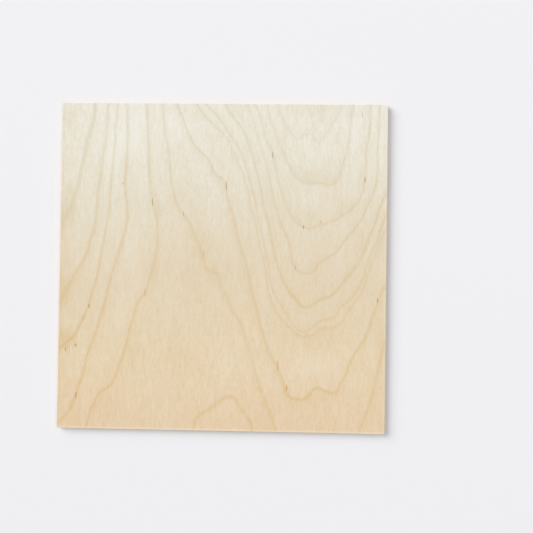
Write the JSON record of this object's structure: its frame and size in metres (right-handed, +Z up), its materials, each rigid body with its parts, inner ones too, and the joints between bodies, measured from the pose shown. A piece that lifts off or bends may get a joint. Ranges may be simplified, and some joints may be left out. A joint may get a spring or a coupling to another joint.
{
  "type": "plywood sheet",
  "caption": "Flat square sheet of pale birch plywood with sawn edges and lightly eased arrises, used as cutting stock for crafts, models and small panels.",
  "frame": {"origin": "middle of the underside, on the surface that the sheet lies on", "axes": "+Z up through the thickness, towards the show face; +Y along the grain of the face; +X across the grain"},
  "size_m": [0.3048, 0.3048, 0.006],
  "materials": {
    "birch_plywood": "satin"
  },
  "bodies": {
    "root": {"plywood_sheet": "birch_plywood"}
  },
  "joints": []
}
